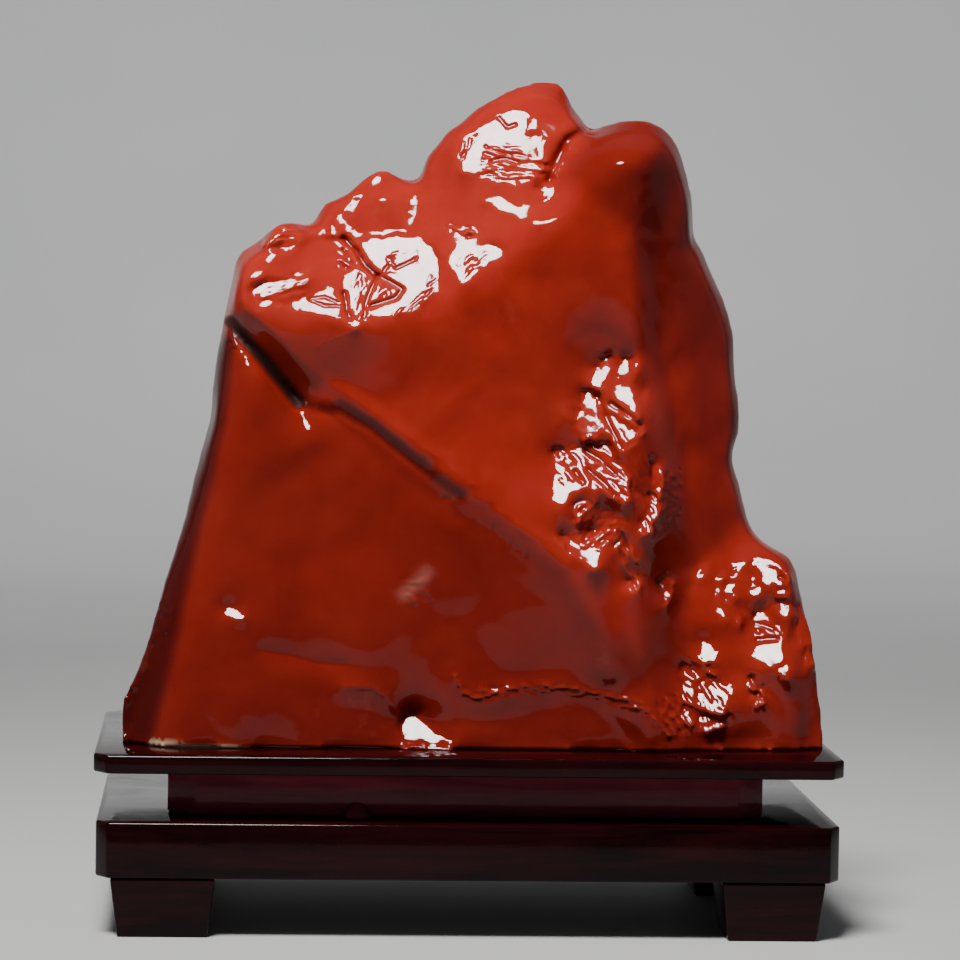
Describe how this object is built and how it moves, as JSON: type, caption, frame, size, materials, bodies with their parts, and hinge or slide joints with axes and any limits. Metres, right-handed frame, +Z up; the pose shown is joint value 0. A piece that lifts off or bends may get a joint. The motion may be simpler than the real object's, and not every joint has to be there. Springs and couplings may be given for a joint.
{
  "type": "shoushan stone on stand",
  "caption": "Tall polished red ornamental stone with ridged shoulders, a sloping ledge and a pitted band, resting on a low lacquered wooden stand with a recessed waist and tapered block feet.",
  "frame": {"origin": "on the surface the stand's feet rest on, under the middle of the stand", "axes": "+X along the stand to the right as seen from the front, +Y from front to back, +Z up"},
  "size_m": [0.201, 0.11, 0.2316],
  "materials": {
    "stone": "high polish, slightly waxy",
    "lacquered_wood": "dark glossy lacquer"
  },
  "bodies": {
    "root": {"stone": "stone", "top_plate": "lacquered_wood", "waist": "lacquered_wood", "lower_board": "lacquered_wood", "foot_front_left": "lacquered_wood", "foot_front_right": "lacquered_wood", "foot_back_left": "lacquered_wood", "foot_back_right": "lacquered_wood"}
  },
  "joints": []
}
